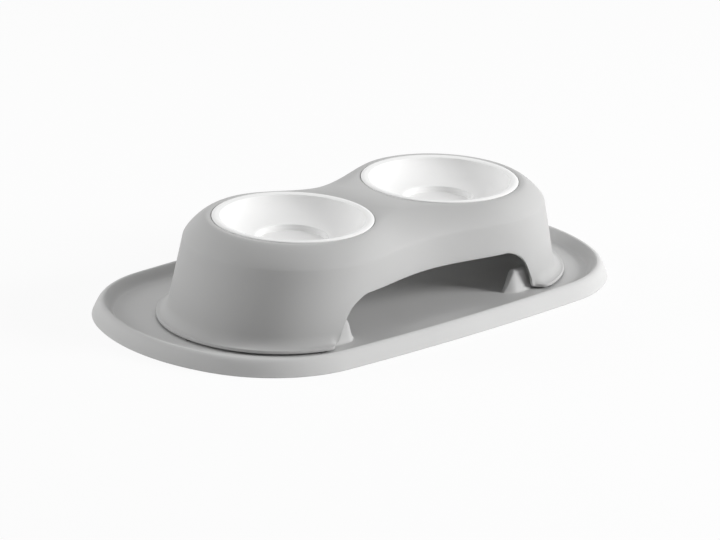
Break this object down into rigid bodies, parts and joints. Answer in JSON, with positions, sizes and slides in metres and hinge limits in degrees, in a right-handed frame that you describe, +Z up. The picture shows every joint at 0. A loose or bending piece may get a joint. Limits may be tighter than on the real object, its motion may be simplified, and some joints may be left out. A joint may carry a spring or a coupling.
{
  "type": "raised double pet bowl",
  "caption": "Raised feeding stand for a pet: shallow drop-in bowls sit flush in a waisted moulded stand with open arches, on a rimmed spill mat.",
  "frame": {"origin": "centre of the mat's underside, on the table", "axes": "+X along the row of bowls towards the right bowl, +Y to the back, +Z up"},
  "size_m": [0.4976, 0.2812, 0.091],
  "materials": {
    "mat_polymer": "matt, fine moulded grain",
    "stand_plastic": "matt, fine moulded grain",
    "bowl_white": "smooth white gloss",
    "pad_rubber": "matt rubber"
  },
  "bodies": {
    "mat": {"feeding_mat": "mat_polymer"},
    "stand": {"bowl_stand": "stand_plastic", "foot_pad_left_front": "pad_rubber", "foot_pad_left_end": "pad_rubber", "foot_pad_left_back": "pad_rubber", "foot_pad_right_front": "pad_rubber", "foot_pad_right_end": "pad_rubber", "foot_pad_right_back": "pad_rubber"},
    "left_bowl": {"bowl_left": "bowl_white"},
    "right_bowl": {"bowl_right": "bowl_white"}
  },
  "joints": [
    {"name": "stand_lift", "type": "slide", "parent": "mat", "child": "stand", "axis": [0, 0, 1], "range_m": [0, 0.06]},
    {"name": "left_bowl_lift", "type": "slide", "parent": "stand", "child": "left_bowl", "axis": [0, 0, 1], "range_m": [0, 0.05]},
    {"name": "right_bowl_lift", "type": "slide", "parent": "stand", "child": "right_bowl", "axis": [0, 0, 1], "range_m": [0, 0.05]}
  ]
}
